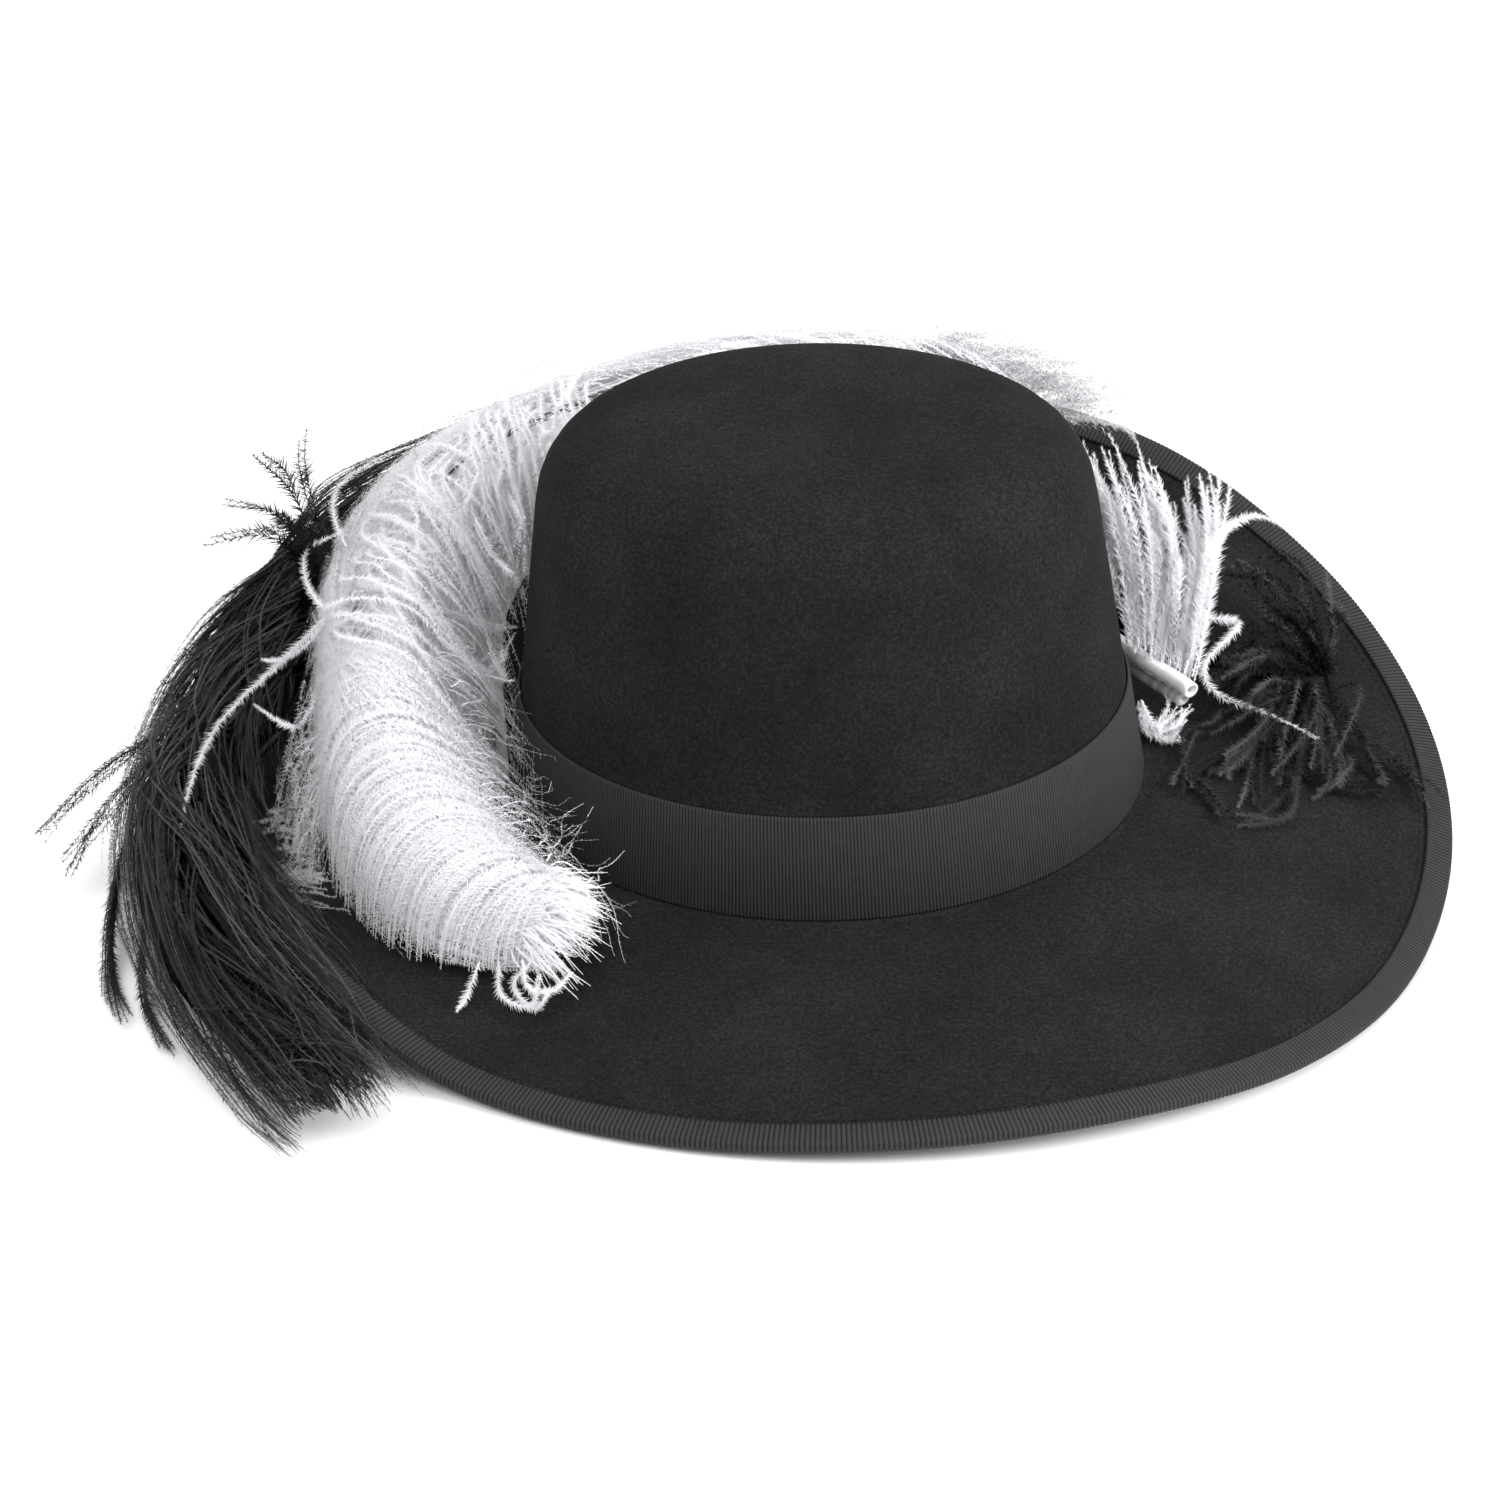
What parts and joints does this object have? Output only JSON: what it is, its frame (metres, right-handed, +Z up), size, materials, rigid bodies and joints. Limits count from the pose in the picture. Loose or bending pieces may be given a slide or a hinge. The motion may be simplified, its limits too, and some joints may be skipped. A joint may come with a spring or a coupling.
{
  "type": "cavalier hat",
  "caption": "Wide-brimmed felt hat with a flat-topped crown, one side of the brim turned up, ribbon band, ribbon-bound edge and two plumes.",
  "frame": {"origin": "centre of the box round the hat, on the surface that it rests on", "axes": "+X towards the hat's front, +Y towards the side where the brim is turned up, +Z up"},
  "size_m": [0.441, 0.4072, 0.169],
  "materials": {
    "felt": "black wool felt with a short nap",
    "ribbon": "black ribbed grosgrain ribbon",
    "white_feather": "white ostrich plume",
    "black_feather": "black dyed ostrich plume"
  },
  "bodies": {
    "root": {"felt_body": "felt", "hat_band": "ribbon", "brim_binding": "ribbon", "plume_strap": "ribbon", "white_plume": "white_feather", "black_plume": "black_feather"}
  },
  "joints": []
}
